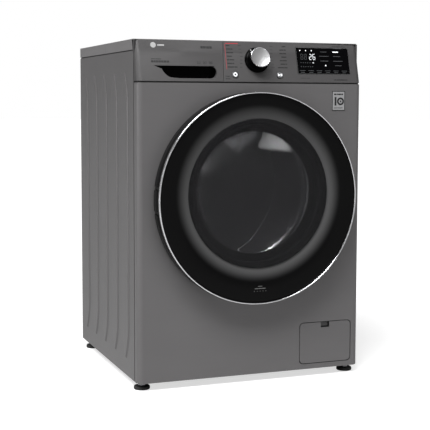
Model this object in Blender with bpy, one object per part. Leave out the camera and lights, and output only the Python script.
"""Front load washing machine, 600 mm wide, built as separate pieces on their joint axes.

Metres, +Z up, the front faces -Y. The origin is on the floor under the middle of the machine.
A depth is counted backwards from the plane of the front panel, and behind() turns it into a y.
"""

from math import atan2, cos, pi, radians, sin, tan

import bmesh
import bpy
from mathutils import Matrix, Vector

# Driving dimensions of the whole machine.
HEIGHT = 0.850
BODY_DEPTH = 0.560
DOOR_PROUD = 0.052
FRONT_Y = DOOR_PROUD - (BODY_DEPTH + DOOR_PROUD) / 2
FOOT_GAP = 0.020
LID_THICK = 0.028
OUTER_X = 0.2975
RIB_X = 0.300
SHEET = 0.001
GAP = 0.0003
SEAM_DEPTH = 0.030
CORNER_RADIUS = 0.014
LID_LOW = HEIGHT - LID_THICK
REAR_PANEL_DEPTH = 0.535

# The control panel leans back from its lower edge to its upper edge.
SPLIT_Z = 0.7475
PANEL_LOW = SPLIT_Z + 0.001
PANEL_TOP = 0.848
PANEL_LEAN = 0.027
LEAN_ANGLE = atan2(PANEL_LEAN, PANEL_TOP - PANEL_LOW)
PANEL_WALL = 0.0025
TOP_CORNER_RADIUS = 0.003
SEAM_X_LOW, SEAM_X_HIGH = -0.0778, -0.0703
FRAME_DEPTH = 0.0365
KNOB_X, KNOB_Z = 0.014, 0.803
DISPLAY_MIDDLE_X, DISPLAY_MIDDLE_Z = 0.1965, 0.804
DISPLAY_WIDE, DISPLAY_HIGH = 0.148, 0.0705
POWER_X, START_X, BUTTON_Z = -0.046, 0.073, 0.767
BUTTON_RADIUS = 0.0085

# The detergent drawer: its tray runs back from the panel, and its front has a grip pocket.
TRAY_LEFT, TRAY_RIGHT, TRAY_LOW, TRAY_HIGH = -0.284, -0.082, 0.760, 0.806
TRAY_START, TRAY_END = 0.0335, 0.300
TRAY_WALL = 0.002
DRAWER_WALL = 0.0025
SCOOP_LEFT, SCOOP_RIGHT, SCOOP_LOW, SCOOP_HIGH = -0.253, -0.093, 0.757, 0.787

# Each side panel has upright pressed ribs, placed by the depth of their middle line.
RIB_COUNT, RIB_FIRST, RIB_PITCH, RIB_WIDE = 5, 0.100, 0.0985, 0.050
RIB_LOW, RIB_HIGH = 0.062, 0.773

# The drum and tub turn and hang about this line, and the door is a little lower.
DRUM_Z = 0.478
DOOR_Z = 0.466
PORT_RADIUS = 0.168
DOOR_RADIUS = 0.2595
DOOR_REAR = -0.004
HINGE_X, HINGE_DEPTH = -0.2500, -0.030
EAR_NEAR, EAR_FAR = 0.0265, 0.0325
PIN_RADIUS = 0.0025
HOOK_X, HOOK_DEPTH = 0.2115, -0.012
GRIP_X, GRIP_DEEP, GRIP_HALF = 0.2270, 0.0230, 0.045
TUB_RADIUS = 0.255
TUB_WALL = 0.004
TUB_FRONT, TUB_SPLIT, TUB_REAR = 0.055, 0.250, 0.434
DRUM_RADIUS = 0.238
DRUM_FRONT, DRUM_REAR = 0.076, 0.404

# The filter bay is low on the right, and the feet stand near the corners.
FILTER_X, FILTER_Z = 0.2075, 0.080
BAY_LEFT, BAY_RIGHT, BAY_LOW, BAY_HIGH = 0.1310, 0.2760, 0.0335, 0.1400
NOTCH_X, NOTCH_HALF, NOTCH_DEEP = 0.2030, 0.0120, 0.0145
COVER_EDGE = 0.0006
FOOT_X, FOOT_FRONT, FOOT_REAR = 0.277, 0.036, 0.515
SPRING_X, SPRING_DEPTH = 0.215, 0.350
DAMPER_X, DAMPER_DEPTH = 0.165, 0.300

# What comes out through the rear panel.
VALVE_XS, VALVE_Z = (0.170, 0.225), 0.780
OUTLET_X, OUTLET_Z = 0.225, 0.100
GLAND_X, GLAND_Z = -0.235, 0.110

# How many sides a round shape has, from the door's rim down to a stud.
DOOR_STEPS, FINE, COARSE, SMALL = 52, 40, 24, 12


def behind(depth):
    """The y of a depth behind the front panel's plane."""
    return FRONT_Y + depth


def panel_depth(z):
    """How far back the leaning control panel's face is at this height."""
    return (z - PANEL_LOW) * tan(LEAN_ANGLE)


# --- Materials ---------------------------------------------------------------------------------


def material(name, colour, roughness, metallic, alpha=1.0):
    found = bpy.data.materials.get(name)
    if found:
        return found
    made = bpy.data.materials.new(name)
    made.use_nodes = True
    shader = made.node_tree.nodes["Principled BSDF"]
    shader.inputs["Base Color"].default_value = (*colour, 1.0)
    shader.inputs["Roughness"].default_value = roughness
    shader.inputs["Metallic"].default_value = metallic
    shader.inputs["Alpha"].default_value = alpha
    return made


def graphite_steel():
    return material("graphite_steel", (0.16, 0.155, 0.158), 0.38, 0.7)


def graphite_plastic():
    return material("graphite_plastic", (0.12, 0.118, 0.119), 0.42, 0.3)


def black_gloss():
    return material("black_gloss", (0.006, 0.006, 0.007), 0.08, 0.0)


def black_plastic():
    return material("black_plastic", (0.02, 0.02, 0.021), 0.5, 0.0)


def chrome():
    return material("chrome", (0.75, 0.75, 0.77), 0.1, 1.0)


def spun_metal():
    return material("spun_metal", (0.55, 0.55, 0.55), 0.25, 1.0)


def steel():
    return material("steel", (0.5, 0.5, 0.52), 0.3, 1.0)


def black_steel():
    return material("black_steel", (0.02, 0.02, 0.021), 0.45, 0.5)


def galvanised():
    return material("galvanised", (0.42, 0.43, 0.44), 0.5, 0.8)


def white_plastic():
    return material("white_plastic", (0.62, 0.63, 0.64), 0.45, 0.0)


def tub_plastic():
    return material("tub_plastic", (0.42, 0.43, 0.44), 0.55, 0.0)


def concrete():
    return material("concrete", (0.3, 0.3, 0.29), 0.9, 0.0)


def grey_rubber():
    return material("grey_rubber", (0.12, 0.12, 0.125), 0.7, 0.0)


def black_rubber():
    return material("black_rubber", (0.02, 0.02, 0.02), 0.75, 0.0)


def smoked_glass():
    return material("smoked_glass", (0.03, 0.03, 0.032), 0.05, 0.0, 0.5)


def clear_glass():
    return material("clear_glass", (0.7, 0.72, 0.72), 0.05, 0.0, 0.35)


def copper():
    return material("copper", (0.7, 0.3, 0.15), 0.35, 1.0)


# --- Outlines and solids -----------------------------------------------------------------------


def arc(middle_a, middle_b, radius, start, end, steps):
    """Points on an arc, its angles in degrees, both ends included."""
    turn = [radians(start + (end - start) * i / steps) for i in range(steps + 1)]
    return [(middle_a + radius * cos(t), middle_b + radius * sin(t)) for t in turn]


def circle(middle_a, middle_b, radius, steps):
    return arc(middle_a, middle_b, radius, 0, 360, steps)[:-1]


def rounded_rectangle(low_a, low_b, high_a, high_b, radius, steps=4):
    corners = (
        (high_a - radius, low_b + radius, -90),
        (high_a - radius, high_b - radius, 0),
        (low_a + radius, high_b - radius, 90),
        (low_a + radius, low_b + radius, 180),
    )
    return [p for a, b, t in corners for p in arc(a, b, radius, t, t + 90, steps)]


def finish(bm, name, paint):
    """Turns the working mesh into a named object, shaded smooth but for its sharp edges."""
    bmesh.ops.remove_doubles(bm, verts=bm.verts, dist=1e-7)
    bmesh.ops.recalc_face_normals(bm, faces=bm.faces)
    mesh = bpy.data.meshes.new(name)
    bm.to_mesh(mesh)
    bm.free()
    mesh.shade_smooth()
    mesh.set_sharp_from_angle(angle=radians(30))
    mesh.materials.append(paint)
    made = bpy.data.objects.new(name, mesh)
    bpy.context.scene.collection.objects.link(made)
    return made


def skin(name, loops, paint):
    """A solid whose surface runs from loop to loop, capped at both ends."""
    bm = bmesh.new()
    rings = [[bm.verts.new(point) for point in loop] for loop in loops]
    count = len(rings[0])
    for near, far in zip(rings, rings[1:]):
        for i in range(count):
            j = (i + 1) % count
            bm.faces.new((near[i], near[j], far[j], far[i]))
    bm.faces.new(rings[0])
    bm.faces.new(reversed(rings[-1]))
    return finish(bm, name, paint)


def prism(name, outline, axis, low, high, paint):
    """An outline extruded along X, Y or Z. The outline's pairs are the other two coordinates in order."""
    place = {
        "X": lambda a, b, c: (c, a, b),
        "Y": lambda a, b, c: (a, c, b),
        "Z": lambda a, b, c: (a, b, c),
    }[axis]
    return skin(name, [[place(a, b, c) for a, b in outline] for c in (low, high)], paint)


def box(name, low, high, paint):
    outline = [(low[0], low[1]), (high[0], low[1]), (high[0], high[1]), (low[0], high[1])]
    return prism(name, outline, "Z", low[2], high[2], paint)


def turned(name, profile, paint, middle_x=0.0, middle_z=DRUM_Z, steps=FINE):
    """A closed profile of (radius, depth) pairs turned about a line along Y."""
    loops = []
    for i in range(steps):
        t = 2 * pi * (i + 0.5) / steps
        loops.append([(middle_x + r * cos(t), behind(d), middle_z + r * sin(t)) for r, d in profile])
    return skin_turned(name, loops, paint)


def upright(name, profile, paint, middle_x, middle_y, steps=SMALL):
    """A closed profile of (radius, z) pairs turned about a line along Z."""
    loops = []
    for i in range(steps):
        t = 2 * pi * (i + 0.5) / steps
        loops.append([(middle_x + r * cos(t), middle_y + r * sin(t), z) for r, z in profile])
    return skin_turned(name, loops, paint)


def skin_turned(name, loops, paint):
    """The surface between turned copies of a profile. Points on the axis are welded into one."""
    bm = bmesh.new()
    rings = [[bm.verts.new(point) for point in loop] for loop in loops]
    count = len(rings[0])
    for near, far in zip(rings, rings[1:] + rings[:1]):
        for i in range(count):
            j = (i + 1) % count
            bm.faces.new((near[i], near[j], far[j], far[i]))
    bmesh.ops.remove_doubles(bm, verts=bm.verts, dist=1e-6)
    bmesh.ops.dissolve_degenerate(bm, edges=bm.edges, dist=1e-6)
    lone = [edge for edge in bm.edges if not edge.link_faces]
    bmesh.ops.delete(bm, geom=lone, context="EDGES")
    return finish(bm, name, paint)


def tube(name, points, radius, paint, sides=8):
    """A round bar along a path, each ring square to the path."""
    path = [Vector(p) for p in points]
    last = len(path) - 1
    loops = []
    reference = None
    for i, middle in enumerate(path):
        ahead = (path[min(i + 1, last)] - path[max(i - 1, 0)]).normalized()
        if reference is None:
            reference = ahead.orthogonal().normalized()
        reference = (reference - ahead * reference.dot(ahead)).normalized()
        side = ahead.cross(reference)
        ring = [2 * pi * k / sides for k in range(sides)]
        loops.append([middle + radius * (cos(t) * reference + sin(t) * side) for t in ring])
    return skin(name, loops, paint)


def combine(target, tool, operation):
    modifier = target.modifiers.new(operation.title(), "BOOLEAN")
    modifier.operation = operation
    modifier.object = tool
    tool.hide_render = True
    tool.display_type = "WIRE"
    return target


def cut(target, tool):
    return combine(target, tool, "DIFFERENCE")


def add(target, tool):
    return combine(target, tool, "UNION")


def axis_empty(name, location, rotation=(0.0, 0.0, 0.0)):
    made = bpy.data.objects.new(name, None)
    made.empty_display_size = 0.05
    made.location = location
    made.rotation_euler = rotation
    bpy.context.scene.collection.objects.link(made)
    return made


def carry(empty, *pieces):
    """Parents pieces that are modelled in place to an unturned empty on their joint's axis."""
    for piece in pieces:
        piece.parent = empty
        piece.matrix_parent_inverse = Matrix.Translation(-Vector(empty.location))


def on_panel(name, x, z, *pieces):
    """An empty on the leaning face: its Y runs up the face and its Z points out of it."""
    turn = (pi / 2 - LEAN_ANGLE, 0.0, 0.0)
    empty = axis_empty(name, (x, behind(panel_depth(z)), z), turn)
    for piece in pieces:
        piece.parent = empty
    return empty


def spun(name, profile, paint, steps=COARSE):
    """A closed profile of (radius, height) pairs turned about the local Z, for the leaning face."""
    return upright(name, profile, paint, 0.0, 0.0, steps)


# --- Cabinet -----------------------------------------------------------------------------------

def rib(side, middle_depth):
    """A shallow pressed rib with pointed ends and sloping flanks."""
    loops = []
    for x, shrink in ((OUTER_X - SHEET / 2, 0.0), (RIB_X, 0.008)):
        half = RIB_WIDE / 2 - shrink
        low, high, point = RIB_LOW + 2 * shrink, RIB_HIGH - 2 * shrink, 2.4 * half
        outline = [
            (-half, low + point), (0.0, low), (half, low + point),
            (half, high - point), (0.0, high), (-half, high - point),
        ]
        loops.append([(side * x, behind(middle_depth + a), z) for a, z in outline])
    return skin(f"rib_shape_{middle_depth:.3f}_{side}", loops, graphite_steel())


def side_panel(name, side):
    """A folded steel side: a sheet with ribs, a rear flange and the suspension bracket."""
    low_z, high_z = FOOT_GAP, LID_LOW - GAP
    near, far = behind(SEAM_DEPTH + GAP), behind(BODY_DEPTH)
    inner = OUTER_X - SHEET
    edges = sorted((side * inner, side * OUTER_X))
    panel = box(name, (edges[0], near, low_z), (edges[1], far, high_z), graphite_steel())
    flange_edges = sorted((side * (OUTER_X - 0.020), side * (OUTER_X - SHEET / 2)))
    flange = box(name + "_flange", (flange_edges[0], far - SHEET, low_z + 0.004),
                 (flange_edges[1], far, high_z), graphite_steel())
    add(panel, flange)
    bracket_edges = sorted((side * (SPRING_X - 0.018), side * (OUTER_X - SHEET / 2)))
    bracket = box(name + "_bracket", (bracket_edges[0], behind(SPRING_DEPTH - 0.025), 0.800),
                  (bracket_edges[1], behind(SPRING_DEPTH + 0.025), 0.804), graphite_steel())
    add(panel, bracket)
    for i in range(RIB_COUNT):
        add(panel, rib(side, RIB_FIRST + i * RIB_PITCH))
    return panel


def wrap_outline(face, radius, wall, back):
    """The plan of a sheet that covers the front and turns round both front corners."""
    outline = [(OUTER_X, back)]
    outline += arc(OUTER_X - radius, face + radius, radius, 0, -90, 5)
    outline += arc(-OUTER_X + radius, face + radius, radius, -90, -180, 5)
    outline += [(-OUTER_X, back), (-OUTER_X + wall, back)]
    outline += arc(-OUTER_X + radius, face + radius, radius - wall, -180, -90, 5)
    outline += arc(OUTER_X - radius, face + radius, radius - wall, -90, 0, 5)
    outline += [(OUTER_X - wall, back)]
    return outline


def front_panel():
    outline = wrap_outline(FRONT_Y, CORNER_RADIUS, SHEET, behind(SEAM_DEPTH))
    panel = prism("front_panel", outline, "Z", FOOT_GAP, SPLIT_Z, graphite_steel())
    port = prism("port_cut", circle(0, DRUM_Z, PORT_RADIUS, FINE), "Y", behind(-0.01), behind(0.02),
                 graphite_steel())
    bay = rounded_rectangle(BAY_LEFT, BAY_LOW, BAY_RIGHT, BAY_HIGH, 0.011)
    bay_cut = prism("bay_cut", bay, "Y", behind(-0.01), behind(0.02), graphite_steel())
    hook_slot = box("hook_slot", (HOOK_X - 0.009, behind(-0.01), DOOR_Z - 0.014),
                    (HOOK_X + 0.013, behind(0.01), DOOR_Z + 0.014), graphite_steel())
    for tool in (port, bay_cut, hook_slot):
        cut(panel, tool)
    return panel


def rear_panel():
    panel = box("rear_panel", (-OUTER_X + 0.0015, behind(REAR_PANEL_DEPTH), 0.0238),
                (OUTER_X - 0.0015, behind(REAR_PANEL_DEPTH + SHEET), LID_LOW - GAP), galvanised())
    holes = [(0.0, DRUM_Z, 0.150, COARSE)]
    holes += [(x, VALVE_Z, 0.0165, SMALL) for x in VALVE_XS]
    holes += [(OUTLET_X, OUTLET_Z, 0.0145, SMALL), (GLAND_X, GLAND_Z, 0.0105, SMALL)]
    for i, (x, z, radius, steps) in enumerate(holes):
        tool = prism(f"rear_hole_{i}", circle(x, z, radius, steps), "Y",
                     behind(REAR_PANEL_DEPTH - 0.01), behind(REAR_PANEL_DEPTH + 0.01), galvanised())
        cut(panel, tool)
    return panel


def rear_service_cover():
    """A dished cover over the motor, its flange flat on the rear panel."""
    start = REAR_PANEL_DEPTH + SHEET + GAP
    profile = [
        (0.0, start + 0.0130), (0.110, start + 0.0130), (0.138, start + 0.0080), (0.146, start + 0.0012),
        (0.168, start + 0.0012), (0.168, start), (0.144, start), (0.136, start + 0.0068),
        (0.109, start + 0.0118), (0.0, start + 0.0118),
    ]
    return turned("rear_service_cover", profile, galvanised(), steps=COARSE)


def top_panel():
    """The lid: a shallow tray upside down, its rim resting on the side panels."""
    near, far = behind(SEAM_DEPTH + GAP), behind(BODY_DEPTH)
    lid = box("top_panel", (-OUTER_X, near, LID_LOW), (OUTER_X, far, HEIGHT), graphite_plastic())
    hollow = box("top_hollow", (-OUTER_X + 0.012, near + 0.012, LID_LOW - 0.01),
                 (OUTER_X - 0.012, far - 0.012, HEIGHT - 0.012), graphite_plastic())
    return cut(lid, hollow)


def base_pan():
    near, far = behind(0.0150), behind(REAR_PANEL_DEPTH - 0.001)
    wide, low, high = OUTER_X - 0.0020, FOOT_GAP + GAP, 0.0520
    pan = box("base_pan", (-wide, near, low), (wide, far, high), black_plastic())
    wall = 0.0030
    floor, above = low + wall, high + 0.01
    hollow = box("pan_hollow", (-wide + wall, near + wall, floor), (wide - wall, far - wall, above),
                 black_plastic())
    cut(pan, hollow)
    mouth = box("pan_mouth", (BAY_LEFT - 0.004, near - 0.01, floor), (BAY_RIGHT + 0.004, near + 0.02, above),
                black_plastic())
    cut(pan, mouth)
    for i, (x, depth) in enumerate(foot_places()):
        hole = prism(f"stud_hole_{i}", circle(x, behind(depth), 0.0062, SMALL), "Z", low - 0.01, low + 0.02,
                     black_plastic())
        cut(pan, hole)
    return pan


def foot_places():
    return [(side * FOOT_X, depth) for depth in (FOOT_FRONT, FOOT_REAR) for side in (-1, 1)]


def foot(name, x, depth):
    """A levelling foot: a rubber-shod pad, a lock nut's collar and a stud up into the base."""
    profile = [
        (0.0, 0.0), (0.0185, 0.0), (0.0200, 0.0020), (0.0195, 0.0075), (0.0110, 0.0105), (0.0110, 0.0120),
        (0.0100, 0.0120), (0.0100, 0.0180), (0.0055, 0.0180), (0.0055, 0.0400), (0.0, 0.0400),
    ]
    made = upright(name, profile, black_rubber(), x, behind(depth))
    carry(axis_empty(name + "_axis", (x, behind(depth), 0.0)), made)


# --- Control panel -----------------------------------------------------------------------------


def fascia_outline(face_depth, radius, seam):
    """The plan of the fascia: the face, the right corner, and the frame set back behind the drawer."""
    face, wall = behind(face_depth), PANEL_WALL
    back = behind(SEAM_DEPTH)
    frame = behind(FRAME_DEPTH)
    outline = [(OUTER_X, back)]
    outline += arc(OUTER_X - radius, face + radius, radius, 0, -90, 5)
    left = seam + GAP
    outline += [(left, face), (left, frame), (-OUTER_X + 0.0015, frame)]
    outline += [(-OUTER_X + 0.0015, frame + wall), (left + wall, frame + wall), (left + wall, face + wall)]
    inner = max(radius - wall, 0.0004)
    outline += arc(OUTER_X - wall - inner, face + wall + inner, inner, -90, 0, 5)
    outline += [(OUTER_X - wall, back)]
    return outline


def control_panel():
    loops = []
    levels = (
        (PANEL_LOW, 0.0, CORNER_RADIUS, SEAM_X_LOW),
        (PANEL_TOP, PANEL_LEAN, TOP_CORNER_RADIUS, SEAM_X_HIGH),
    )
    for z, lean, radius, seam in levels:
        loops.append([(x, y, z) for x, y in fascia_outline(lean, radius, seam)])
    panel = skin("control_panel", loops, graphite_plastic())
    lid_room = box("lid_room", (-0.31, behind(SEAM_DEPTH + 0.0001), LID_LOW - GAP),
                   (0.31, behind(0.06), 0.86), graphite_plastic())
    cut(panel, lid_room)
    mouth = box("drawer_mouth", (TRAY_LEFT - 0.003, behind(0.03), TRAY_LOW - 0.002),
                (TRAY_RIGHT + 0.003, behind(0.05), TRAY_HIGH + 0.002), graphite_plastic())
    cut(panel, mouth)
    window = prism("display_cut", rounded_rectangle(-DISPLAY_WIDE / 2, -DISPLAY_HIGH / 2, DISPLAY_WIDE / 2,
                   DISPLAY_HIGH / 2, 0.002, 2), "Z", -0.02, 0.02, graphite_plastic())
    on_panel("display_cut_axis", DISPLAY_MIDDLE_X, DISPLAY_MIDDLE_Z, window)
    cut(panel, window)
    hole_radius = BUTTON_RADIUS + 0.0005
    holes = ((KNOB_X, KNOB_Z, 0.0075), (POWER_X, BUTTON_Z, hole_radius), (START_X, BUTTON_Z, hole_radius))
    for i, (x, z, radius) in enumerate(holes):
        hole = prism(f"panel_hole_{i}", circle(0, 0, radius, 24), "Z", -0.02, 0.02, graphite_plastic())
        on_panel(f"panel_hole_axis_{i}", x, z, hole)
        cut(panel, hole)
    return panel


def display_window():
    edge = 0.0004
    outline = rounded_rectangle(edge - DISPLAY_WIDE / 2, edge - DISPLAY_HIGH / 2, DISPLAY_WIDE / 2 - edge,
                                DISPLAY_HIGH / 2 - edge, 0.002, 2)
    window = prism("display_window", outline, "Z", -0.0035, 0.0004, black_gloss())
    on_panel("display_axis", DISPLAY_MIDDLE_X, DISPLAY_MIDDLE_Z, window)
    return window


def knob():
    """The programme knob: a gloss barrel on a skirt, a stub through the fascia, and a spun metal cap."""
    skirt_profile = [
        (0.0, -0.0120), (0.0060, -0.0120), (0.0060, 0.0006), (0.0320, 0.0006), (0.0320, 0.0026),
        (0.0275, 0.0050), (0.0252, 0.0060), (0.0243, 0.0255), (0.0, 0.0255),
    ]
    cap_profile = [
        (0.0, 0.0258), (0.0244, 0.0258), (0.0250, 0.0264), (0.0250, 0.0273), (0.0243, 0.0280),
        (0.0231, 0.0274), (0.0, 0.0270),
    ]
    skirt = spun("knob_skirt", skirt_profile, black_gloss())
    cap = spun("knob_cap", cap_profile, spun_metal())
    on_panel("knob_axis", KNOB_X, KNOB_Z, skirt, cap)


def button(name, x):
    profile = [
        (0.0, -0.0060), (BUTTON_RADIUS, -0.0060), (BUTTON_RADIUS, 0.0010), (BUTTON_RADIUS - 0.0008, 0.0018),
        (0.0, 0.0018),
    ]
    on_panel(name + "_axis", x, BUTTON_Z, spun(name, profile, spun_metal(), 24))


# --- Detergent drawer --------------------------------------------------------------------------

def drawer_plan(face_depth, radius, seam):
    face, wall = behind(face_depth), DRAWER_WALL
    back = behind(SEAM_DEPTH)
    right = seam - 0.0004
    outline = [(-OUTER_X, back)]
    outline += arc(-OUTER_X + radius, face + radius, radius, 180, 270, 5)
    outline += [(right, face), (right, face + wall)]
    inner = max(radius - wall, 0.0004)
    outline += arc(-OUTER_X + wall + inner, face + wall + inner, inner, 270, 180, 5)
    outline += [(-OUTER_X + wall, back)]
    return outline


def scoop_outline(grow):
    """A grip pocket: straight along the top, round at the right end, a long slope at the left."""
    radius = (SCOOP_HIGH - SCOOP_LOW) / 2
    outline = arc(SCOOP_RIGHT - radius, SCOOP_LOW + radius, radius + grow, -90, 60, 6)
    outline += [(SCOOP_RIGHT - 0.004, SCOOP_HIGH + grow), (SCOOP_LEFT - grow, SCOOP_HIGH + grow)]
    outline += arc(SCOOP_LEFT + 0.052, SCOOP_HIGH + 0.004, 0.034 + grow, 200, 250, 4)
    outline += [(SCOOP_LEFT + 0.062, SCOOP_LOW - grow)]
    return outline


def drawer_front():
    loops = []
    levels = (
        (PANEL_LOW + GAP, 0.0, CORNER_RADIUS, SEAM_X_LOW),
        (PANEL_TOP, PANEL_LEAN, TOP_CORNER_RADIUS, SEAM_X_HIGH),
    )
    for z, lean, radius, seam in levels:
        loops.append([(x, y, z) for x, y in drawer_plan(lean, radius, seam)])
    front = skin("drawer_front", loops, graphite_plastic())
    low_face = behind(panel_depth(SCOOP_LOW) + 0.0012)
    high_face = behind(panel_depth(SCOOP_HIGH) + 0.0012)
    body_back, pocket_back = behind(TRAY_START - GAP - 0.0005), behind(TRAY_START - 0.0025)
    shell = scoop_solid("scoop_shell", 0.0022, low_face, high_face, body_back)
    pocket = scoop_solid("scoop_pocket", 0.0, behind(-0.02), behind(-0.02), pocket_back)
    return cut(add(front, shell), pocket)


def scoop_solid(name, grow, low_front, high_front, back):
    """The pocket's outline run from the leaning face to a flat back."""
    slope = (high_front - low_front) / (SCOOP_HIGH - SCOOP_LOW)
    outline = scoop_outline(grow)
    near = [(x, low_front + (z - SCOOP_LOW) * slope, z) for x, z in outline]
    far = [(x, back, z) for x, z in outline]
    return skin(name, [near, far], graphite_plastic())


def drawer_tray():
    near, far, wall = behind(TRAY_START), behind(TRAY_END), TRAY_WALL
    tray = box("drawer_tray", (TRAY_LEFT, near, TRAY_LOW), (TRAY_RIGHT, far, TRAY_HIGH), white_plastic())
    walls = [TRAY_LEFT, -0.208, -0.146, TRAY_RIGHT]
    for i, (left, right) in enumerate(zip(walls, walls[1:])):
        room = box(f"tray_room_{i}", (left + wall, near + wall, TRAY_LOW + wall),
                   (right - wall * (right == TRAY_RIGHT), far - wall, TRAY_HIGH + 0.01), white_plastic())
        cut(tray, room)
    return tray


def dispenser_housing():
    left, right, low, high = TRAY_LEFT - 0.0060, TRAY_RIGHT + 0.0060, 0.7530, 0.8180
    near, far, wall = behind(FRAME_DEPTH + PANEL_WALL + GAP), behind(0.322), 0.0025
    housing = box("dispenser_housing", (left, near, low), (right, far, high), white_plastic())
    room = box("housing_room", (left + wall, near - 0.01, low + wall),
               (right - wall, far - wall, high - wall), white_plastic())
    return cut(housing, room)


# --- Door --------------------------------------------------------------------------------------


def door_frame():
    """The gloss rim and dished ring in one shell, with room at the left for the hinge ears."""
    profile = [
        (DOOR_RADIUS - 0.0030, DOOR_REAR), (DOOR_RADIUS, DOOR_REAR - 0.0030), (DOOR_RADIUS, -0.0437),
        (0.2555, -0.0437), (0.2555, -0.0500), (0.2400, -0.0492), (0.2230, -0.0462), (0.2050, -0.0440),
        (0.1500, -0.0430), (0.1500, -0.0350), (0.2060, -0.0360), (0.2300, -0.0385), (0.2450, -0.0405),
        (0.2530, -0.0405), (0.2530, DOOR_REAR),
    ]
    frame = turned("door_frame", profile, black_gloss(), middle_z=DOOR_Z, steps=DOOR_STEPS)
    seat = prism("window_seat", circle(0, DRUM_Z, 0.1835, DOOR_STEPS), "Y", behind(-0.06), behind(-0.0390),
                 black_gloss())
    opening = prism("window_hole", circle(0, DRUM_Z, 0.1755, DOOR_STEPS), "Y", behind(-0.06), behind(-0.01),
                    black_gloss())
    knuckle = box("hinge_knuckle", (-0.2572, behind(-0.0370), DOOR_Z - 0.0255),
                  (-0.2440, behind(-0.0235), DOOR_Z + 0.0255), black_gloss())
    add(cut(cut(frame, seat), opening), knuckle)
    pin_hole = prism("pin_hole", circle(HINGE_X, behind(HINGE_DEPTH), PIN_RADIUS + GAP, SMALL), "Z",
                     DOOR_Z - 0.0350, DOOR_Z + 0.0350, black_gloss())
    cut(frame, pin_hole)
    for side in (-1, 1):
        levels = sorted((DOOR_Z + side * (EAR_NEAR - 0.0007), DOOR_Z + side * (EAR_FAR + 0.0007)))
        slot = box(f"ear_slot_{side}", (-0.270, behind(-0.0432), levels[0]),
                   (HINGE_X + 0.0058, behind(0.0), levels[1]), black_gloss())
        cut(frame, slot)
    grip = box("grip_cut", (GRIP_X, behind(-GRIP_DEEP), DOOR_Z - GRIP_HALF),
               (0.270, behind(0.0), DOOR_Z + GRIP_HALF), black_gloss())
    return cut(frame, grip)


def door_trim_ring():
    profile = [
        (0.2595, -0.0440), (0.2595, -0.0512), (0.2587, -0.0520), (0.2566, -0.0520), (0.2558, -0.0512),
        (0.2558, -0.0440),
    ]
    return turned("door_trim_ring", profile, chrome(), middle_z=DOOR_Z, steps=DOOR_STEPS)


def door_window():
    profile = [
        (0.0, -0.0452), (0.100, -0.0446), (0.1815, -0.0426), (0.1830, -0.0418), (0.1830, -0.0393),
        (0.100, -0.0400), (0.0, -0.0404),
    ]
    return turned("door_window", profile, smoked_glass())


def door_glass_bowl():
    """The glass bowl, clamped by its flange, that keeps the load in the drum."""
    outer = [(0.1700, -0.0150), (0.1700, -0.0100), (0.1503, -0.0100), (0.1495, 0.0060), (0.1420, 0.0420)]
    outer += [(0.1290, 0.0800), (0.1080, 0.1020), (0.0700, 0.1100), (0.0, 0.1120)]
    inner = [(0.0, 0.1080), (0.0680, 0.1060), (0.1050, 0.0985), (0.1252, 0.0780), (0.1380, 0.0410)]
    inner += [(0.1455, 0.0055), (0.1463, -0.0150)]
    return turned("door_glass_bowl", outer + inner, clear_glass())


def door_inner_frame():
    """The ring that closes the door's back, holds the bowl's flange and carries the hook."""
    profile = [
        (0.1300, DOOR_REAR), (0.1300, -0.0066), (0.2440, -0.0066), (0.2440, -0.0140), (0.2462, -0.0140),
        (0.2462, -0.0066), (0.2522, -0.0066), (0.2522, DOOR_REAR),
    ]
    frame = turned("door_inner_frame", profile, black_plastic(), middle_z=DOOR_Z, steps=DOOR_STEPS)
    clamp_profile = [(0.1712, -0.0060), (0.1712, -0.0250), (0.1740, -0.0250), (0.1740, -0.0060)]
    add(frame, turned("bowl_clamp", clamp_profile, black_plastic()))
    bowl_hole = circle(0, DRUM_Z, 0.1512, FINE)
    cut(frame, prism("bowl_hole", bowl_hole, "Y", behind(-0.008), behind(0.0), black_plastic()))
    rooms = {
        "knuckle_room": (-0.262, -0.2385, 0.0300, 0.037),
        "grip_room": (GRIP_X, 0.270, GRIP_DEEP, GRIP_HALF),
        "hook_room": (HOOK_X - 0.0065, HOOK_X + 0.0085, 0.0300, 0.0075),
    }
    for name, (left, right, proud, half) in rooms.items():
        cut(frame, box(name, (left, behind(-proud), DOOR_Z - half), (right, behind(0.0), DOOR_Z + half),
                       black_plastic()))
    return frame


def door_hook():
    """A sprung latch hook on an upright pin, its tip turned outwards behind the front panel."""
    left = HOOK_X - 0.0025
    near, notch, tip = behind(HOOK_DEPTH - 0.004), behind(0.0060), behind(0.0140)
    outline = [
        (left, near), (left + 0.006, near), (left + 0.006, notch), (left + 0.0095, notch),
        (left + 0.0060, tip), (left, tip),
    ]
    hook = prism("door_hook", outline, "Z", DOOR_Z - 0.006, DOOR_Z + 0.006, steel())
    carry(axis_empty("hook_axis", (HOOK_X, behind(HOOK_DEPTH), DOOR_Z)), hook)


def door():
    pieces = (door_frame(), door_trim_ring(), door_window(), door_glass_bowl(), door_inner_frame())
    carry(axis_empty("door_axis", (HINGE_X, behind(HINGE_DEPTH), DOOR_Z)), *pieces)


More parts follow.
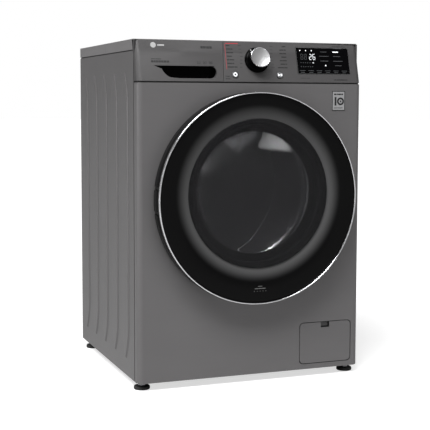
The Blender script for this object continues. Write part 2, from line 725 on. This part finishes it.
def door_hinge_bracket():
    """A plate on the front panel with two ears that hold the hinge pin."""
    plate = box("door_hinge_bracket", (-0.2530, behind(-0.0021), DOOR_Z - 0.045),
                (-0.2150, behind(-GAP), DOOR_Z + 0.045), black_steel())
    for side in (-1, 1):
        levels = sorted((DOOR_Z + side * EAR_NEAR, DOOR_Z + side * EAR_FAR))
        outline = arc(HINGE_X, behind(HINGE_DEPTH), 0.0045, 180, 360, 8)
        outline += [(HINGE_X + 0.0035, behind(-0.0010)), (HINGE_X - 0.0035 + 0.0006, behind(-0.0010))]
        add(plate, prism(f"ear_{side}", outline, "Z", levels[0], levels[1], black_steel()))
    hole = prism("ear_hole", circle(HINGE_X, behind(HINGE_DEPTH), PIN_RADIUS + GAP, SMALL), "Z",
                 DOOR_Z - 0.05, DOOR_Z + 0.05, black_steel())
    return cut(plate, hole)


def door_hinge_pin():
    profile = [(0.0, DOOR_Z - 0.0335), (PIN_RADIUS, DOOR_Z - 0.0335), (PIN_RADIUS, DOOR_Z + 0.0335),
               (0.0, DOOR_Z + 0.0335)]
    return upright("door_hinge_pin", profile, black_steel(), HINGE_X, behind(HINGE_DEPTH))


def door_lock():
    """The lock's box behind the front panel, open to the front for the hook."""
    low = (HOOK_X - 0.016, behind(SHEET + GAP), DOOR_Z - 0.036)
    high = (HOOK_X + 0.020, behind(0.0390), DOOR_Z + 0.036)
    lock = box("door_lock", low, high, white_plastic())
    mouth = box("lock_mouth", (HOOK_X - 0.0100, behind(-0.01), DOOR_Z - 0.013),
                (HOOK_X + 0.0140, behind(0.0260), DOOR_Z + 0.013), white_plastic())
    return cut(lock, mouth)


def door_gasket():
    """The rubber bellows from the front panel's port to the tub's mouth."""
    profile = [
        (0.1545, 0.0014), (0.1800, 0.0014), (0.1800, 0.0120), (0.1720, 0.0250), (0.1730, 0.0310),
        (0.1860, 0.0390), (0.1860, 0.0540), (0.1812, 0.0540), (0.1812, 0.0440), (0.1690, 0.0340),
        (0.1680, 0.0240), (0.1720, 0.0110), (0.1545, 0.0060),
    ]
    return turned("door_gasket", profile, grey_rubber())


# --- Tub, drum and motor -----------------------------------------------------------------------


def tub_front_half():
    inner = TUB_RADIUS - TUB_WALL
    profile = [
        (TUB_RADIUS, TUB_FRONT), (TUB_RADIUS, TUB_SPLIT), (inner, TUB_SPLIT), (inner, TUB_FRONT + TUB_WALL),
        (0.1765, TUB_FRONT + TUB_WALL), (0.1765, 0.0470), (0.1806, 0.0470), (0.1806, TUB_FRONT),
    ]
    return turned("tub_front_half", profile, tub_plastic())


def tub_rear_half():
    """The rear half with its bearing hub, the spring eyes and the damper lugs."""
    inner = TUB_RADIUS - TUB_WALL
    profile = [
        (TUB_RADIUS, TUB_SPLIT + GAP), (TUB_RADIUS, TUB_REAR), (0.0400, TUB_REAR), (0.0400, 0.4745),
        (0.0223, 0.4745), (0.0223, 0.4595), (0.0180, 0.4595), (0.0180, 0.4360), (0.0263, 0.4360),
        (0.0263, 0.4205), (0.0400, 0.4205), (0.0400, TUB_REAR - 0.006), (inner, TUB_REAR - 0.006),
        (inner, TUB_SPLIT + GAP),
    ]
    half = turned("tub_rear_half", profile, tub_plastic())
    for side in (-1, 1):
        eye_edges = sorted((side * (SPRING_X - 0.014), side * (SPRING_X + 0.014)))
        eye = box(f"spring_eye_{side}", (eye_edges[0], behind(SPRING_DEPTH - 0.010), 0.600),
                  (eye_edges[1], behind(SPRING_DEPTH + 0.010), 0.660), tub_plastic())
        lug_edges = sorted((side * (DAMPER_X - 0.012), side * (DAMPER_X + 0.012)))
        lug = box(f"damper_lug_{side}", (lug_edges[0], behind(DAMPER_DEPTH - 0.012), 0.268),
                  (lug_edges[1], behind(DAMPER_DEPTH + 0.012), 0.305), tub_plastic())
        room = prism(f"tub_room_{side}", circle(0, DRUM_Z, inner + 0.001, FINE), "Y",
                     behind(TUB_SPLIT + 0.03), behind(TUB_REAR - 0.01), tub_plastic())
        add(half, cut(eye, room))
        add(half, cut(lug, room))
    return half


def upper_counterweight():
    weight = box("upper_counterweight", (-0.045, behind(0.110), 0.690), (0.215, behind(0.330), 0.785),
                 concrete())
    saddle = circle(0, DRUM_Z, TUB_RADIUS + 0.0015, FINE)
    return cut(weight, prism("weight_room", saddle, "Y", behind(0.0), behind(0.5), concrete()))


def front_counterweight():
    """A crescent of concrete low on the tub's front."""
    outline = arc(0, DRUM_Z, 0.2470, 205, 335, 16) + arc(0, DRUM_Z, 0.1920, 335, 205, 14)
    return prism("front_counterweight", outline, "Y", behind(0.0220), behind(TUB_FRONT - GAP), concrete())


def stator():
    profile = [(0.0450, TUB_REAR + GAP), (0.1100, TUB_REAR + GAP), (0.1100, 0.4620), (0.0450, 0.4620)]
    return turned("stator", profile, copper(), steps=COARSE)


def rotor():
    """The outer rotor: a cup whose wall runs round the stator."""
    profile = [
        (0.0100, 0.4775), (0.1180, 0.4775), (0.1180, 0.4400), (0.1240, 0.4400), (0.1240, 0.4805),
        (0.0100, 0.4805),
    ]
    return turned("rotor", profile, galvanised(), steps=COARSE)


def heater():
    """A hairpin element lying low between the drum and the tub."""
    half, low = 0.028, DRUM_Z - 0.2425
    path = [(-half, behind(0.4270), low), (-half, behind(0.300), low)]
    path += [(half * sin(radians(a)), behind(0.300 - half * cos(radians(a))), low - 0.0012 * cos(radians(a)))
             for a in range(-75, 90, 15)]
    path += [(half, behind(0.300), low), (half, behind(0.4270), low)]
    return tube("heater", path, 0.0028, steel(), 6)


def bearing(name, outer, inner, near, far):
    return turned(name, [(inner, near), (outer, near), (outer, far), (inner, far)], steel(), steps=24)


def drum_shell():
    inner = DRUM_RADIUS - 0.0012
    profile = [
        (DRUM_RADIUS, DRUM_FRONT), (DRUM_RADIUS, DRUM_REAR), (0.0, DRUM_REAR), (0.0, DRUM_REAR - 0.0012),
        (inner, DRUM_REAR - 0.0012), (inner, DRUM_FRONT + 0.0012), (0.1780, DRUM_FRONT + 0.0012),
        (0.1740, DRUM_FRONT + 0.0100), (0.1728, DRUM_FRONT + 0.0096), (0.1772, DRUM_FRONT),
    ]
    return turned("drum_shell", profile, steel())


def drum_spider():
    """A cast hub with three arms that carries the drum on its shaft."""
    outline = []
    for i in range(3):
        middle = 90 + 120 * i
        outline += arc(0, DRUM_Z, 0.2250, middle - 5, middle + 5, 2)
        outline += arc(0, DRUM_Z, 0.0450, middle + 35, middle + 85, 3)
    spider = prism("drum_spider", outline, "Y", behind(DRUM_REAR + GAP), behind(0.4170), galvanised())
    bore = prism("spider_bore", circle(0, DRUM_Z, 0.0126, 24), "Y", behind(0.39), behind(0.43), galvanised())
    return cut(spider, bore)


def drum_lifter(index):
    """A hollow-looking paddle bolted inside the drum, narrow at its crest."""
    turn = radians(90 + 60 + 120 * index)
    base, crest = 0.2335, 0.1870
    loops = []
    for depth, shrink in ((0.105, 0.006), (0.125, 0.0), (0.350, 0.0), (0.372, 0.006)):
        section = [(base, 0.030), (base - 0.012, 0.027), (crest + shrink, 0.010), (crest + shrink, -0.010),
                   (base - 0.012, -0.027), (base, -0.030)]
        loops.append([(a * cos(turn) - b * sin(turn), behind(depth), DRUM_Z + a * sin(turn) + b * cos(turn))
                      for a, b in section])
    return skin(f"drum_lifter_{index + 1}", loops, white_plastic())


def drum_shaft():
    profile = [
        (0.0, DRUM_REAR + GAP), (0.0122, DRUM_REAR + GAP), (0.0122, 0.4370), (0.0110, 0.4370),
        (0.0110, 0.4580), (0.0097, 0.4580), (0.0097, 0.4960), (0.0, 0.4960),
    ]
    return turned("drum_shaft", profile, steel(), steps=24)


def coil_spring(name, x):
    """A close helix between the tub's eye and the cabinet's bracket."""
    turns, low, high, radius, per_turn = 6, 0.6640, 0.7960, 0.0100, 8
    steps = turns * per_turn
    path = []
    for i in range(steps + 1):
        t = 2 * pi * i / per_turn
        z = low + (high - low) * i / steps
        path.append((x + radius * cos(t), behind(SPRING_DEPTH) + radius * sin(t), z))
    return tube(name, path, 0.0022, steel(), 5)


def damper_body(name, x):
    profile = [
        (0.0, 0.0240), (0.0155, 0.0240), (0.0155, 0.1700), (0.0118, 0.1700), (0.0118, 0.0300), (0.0, 0.0300),
    ]
    return upright(name, profile, black_plastic(), x, behind(DAMPER_DEPTH))


def damper_rod(name, x):
    profile = [(0.0, 0.0700), (0.0085, 0.0700), (0.0085, 0.2677), (0.0, 0.2677)]
    return upright(name, profile, steel(), x, behind(DAMPER_DEPTH))


# --- Water, waste and supply -------------------------------------------------------------------

def filter_door():
    """The filter cover, hinged along the front of its lower edge, with a finger notch at its top."""
    edge = COVER_EDGE
    outline = rounded_rectangle(BAY_LEFT + edge, BAY_LOW + edge, BAY_RIGHT - edge, BAY_HIGH - edge, 0.0105)
    cover = prism("filter_door", outline, "Y", behind(0.0), behind(0.0025), graphite_plastic())
    notch = rounded_rectangle(NOTCH_X - NOTCH_HALF, BAY_HIGH - NOTCH_DEEP, NOTCH_X + NOTCH_HALF,
                              BAY_HIGH + 0.020, 0.0025)
    cut(cover, prism("cover_notch", notch, "Y", behind(-0.01), behind(0.01), graphite_plastic()))
    place = (FILTER_X, behind(0.0), BAY_LOW + edge)
    carry(axis_empty("filter_door_axis", place), cover)


def drain_pump_housing():
    """The filter's barrel and the pump's volute behind it, on a block on the base."""
    profile = [
        (0.0335, 0.0260), (0.0335, 0.0950), (0.0450, 0.0990), (0.0450, 0.1350), (0.0, 0.1350), (0.0, 0.1315),
        (0.0415, 0.1315), (0.0415, 0.1025), (0.0300, 0.0980), (0.0300, 0.0260),
    ]
    housing = turned("drain_pump_housing", profile, black_plastic(), FILTER_X, FILTER_Z, 20)
    block = box("pump_block", (FILTER_X - 0.030, behind(0.0500), 0.0240),
                (FILTER_X + 0.030, behind(0.0900), 0.0700), black_plastic())
    barrel = circle(FILTER_X, FILTER_Z, 0.0320, 20)
    room = prism("block_room", barrel, "Y", behind(0.0), behind(0.2), black_plastic())
    inlet = prism("pump_inlet", circle(FILTER_X - 0.020, behind(0.0700), 0.0110, SMALL), "Z", 0.1050, 0.1300,
                  black_plastic())
    port = prism("pump_port", circle(FILTER_X - 0.020, behind(0.0700), 0.0085, SMALL), "Z", 0.0800, 0.1400,
                 black_plastic())
    return cut(add(add(housing, cut(block, room)), inlet), port)


def pump_filter():
    """The filter: a screw cap with a grip bar, and a cage inside the barrel."""
    profile = [
        (0.0, 0.0200), (0.0320, 0.0200), (0.0320, 0.0255), (0.0292, 0.0255), (0.0292, 0.0400),
        (0.0240, 0.0420), (0.0240, 0.0880), (0.0, 0.0880),
    ]
    filter_cap = turned("pump_filter", profile, white_plastic(), FILTER_X, FILTER_Z, 20)
    grip = box("filter_grip", (FILTER_X - 0.0260, behind(0.0130), FILTER_Z - 0.0050),
               (FILTER_X + 0.0260, behind(0.0210), FILTER_Z + 0.0050), white_plastic())
    add(filter_cap, grip)
    carry(axis_empty("pump_filter_axis", (FILTER_X, behind(0.0200), FILTER_Z)), filter_cap)


def pump_impeller():
    tip, root = 0.0320, 0.0100
    outline = []
    for i in range(4):
        outline += arc(FILTER_X, FILTER_Z, tip, 90 * i - 5, 90 * i + 5, 1)
        outline += arc(FILTER_X, FILTER_Z, root, 90 * i + 45, 90 * i + 45, 1)[:1]
    impeller = prism("pump_impeller", outline, "Y", behind(0.1060), behind(0.1280), white_plastic())
    carry(axis_empty("pump_impeller_axis", (FILTER_X, behind(0.1060), FILTER_Z)), impeller)


def sump_hose():
    """The bellows hose from the tub's sump down to the pump's inlet."""
    x, y = FILTER_X - 0.020, behind(0.0700)
    start, end = 0.1310, 0.2620
    profile = []
    folds = 6
    for i in range(folds + 1):
        z = start + (end - start) * i / folds
        profile.append((0.0140 if i % 2 else 0.0175, z))
    profile += [(0.0100, end), (0.0100, start)]
    return upright("sump_hose", profile, black_rubber(), x, y)


def inlet_valve():
    """Two threaded inlets on one solenoid block."""
    block = box("inlet_valve", (0.152, behind(0.4900), VALVE_Z - 0.018),
                (0.243, behind(0.5270), VALVE_Z + 0.018), white_plastic())
    for i, x in enumerate(VALVE_XS):
        profile = [
            (0.0, 0.5200), (0.0131, 0.5200), (0.0131, 0.5580), (0.0090, 0.5580), (0.0090, 0.5400),
            (0.0, 0.5400),
        ]
        add(block, turned(f"inlet_{i}", profile, white_plastic(), x, VALVE_Z, SMALL))
    return block


def drain_outlet():
    """The stub that the drain hose pushes on."""
    profile = [(0.0095, 0.5050), (0.0125, 0.5050), (0.0125, 0.5330), (0.0190, 0.5332), (0.0190, 0.5345),
               (0.0125, 0.5347), (0.0125, 0.5580), (0.0095, 0.5580)]
    return turned("drain_outlet", profile, black_plastic(), OUTLET_X, OUTLET_Z, SMALL)


def cord_gland():
    profile = [(0.0040, 0.5250), (0.0090, 0.5250), (0.0090, 0.5364), (0.0130, 0.5365), (0.0130, 0.5400),
               (0.0065, 0.5560), (0.0040, 0.5560)]
    return turned("cord_gland", profile, black_plastic(), GLAND_X, GLAND_Z, SMALL)


def motor_controller():
    return box("motor_controller", (-0.282, behind(0.070), 0.0240), (-0.190, behind(0.200), 0.0850),
               black_plastic())


# --- Assembly ----------------------------------------------------------------------------------


def build_cabinet():
    side_panel("left_side_panel", -1)
    side_panel("right_side_panel", 1)
    rear_panel()
    rear_service_cover()
    top_panel()
    base_pan()
    front_panel()
    control_panel()
    display_window()
    dispenser_housing()
    door_hinge_bracket()
    door_hinge_pin()
    door_lock()
    door_gasket()
    motor_controller()
    inlet_valve()
    drain_outlet()
    cord_gland()
    for side, x in (("left", -1), ("right", 1)):
        coil_spring(f"suspension_spring_{side}", x * SPRING_X)
        damper_body(f"damper_body_{side}", x * DAMPER_X)


def build_suspended_group():
    pieces = [tub_front_half(), tub_rear_half(), upper_counterweight(), front_counterweight()]
    pieces += [stator(), heater()]
    pieces.append(bearing("front_bearing", 0.0260, 0.0125, 0.4210, 0.4350))
    pieces.append(bearing("rear_bearing", 0.0220, 0.0100, 0.4600, 0.4740))
    for side, x in (("left", -1), ("right", 1)):
        pieces.append(damper_rod(f"damper_rod_{side}", x * DAMPER_X))
    tub_axis = axis_empty("tub_axis", (0.0, behind(TUB_SPLIT), DRUM_Z))
    carry(tub_axis, *pieces)


def build_drum():
    pieces = [drum_shell(), drum_spider(), drum_shaft(), rotor()]
    pieces += [drum_lifter(i) for i in range(3)]
    carry(axis_empty("drum_axis", (0.0, behind(TUB_SPLIT), DRUM_Z)), *pieces)


def build_controls():
    knob()
    button("power_button", POWER_X)
    button("start_button", START_X)
    drawer_axis = axis_empty("drawer_axis", (TRAY_LEFT, behind(TRAY_START), TRAY_LOW))
    carry(drawer_axis, drawer_front(), drawer_tray())


def build_pump():
    drain_pump_housing()
    pump_filter()
    pump_impeller()
    sump_hose()
    filter_door()


def build_feet():
    names = ("foot_front_left", "foot_front_right", "foot_rear_left", "foot_rear_right")
    for name, (x, depth) in zip(names, foot_places()):
        foot(name, x, depth)


def main():
    for old in list(bpy.data.objects):
        bpy.data.objects.remove(old, do_unlink=True)
    build_cabinet()
    build_suspended_group()
    build_drum()
    door()
    door_hook()
    build_controls()
    build_pump()
    build_feet()


main()
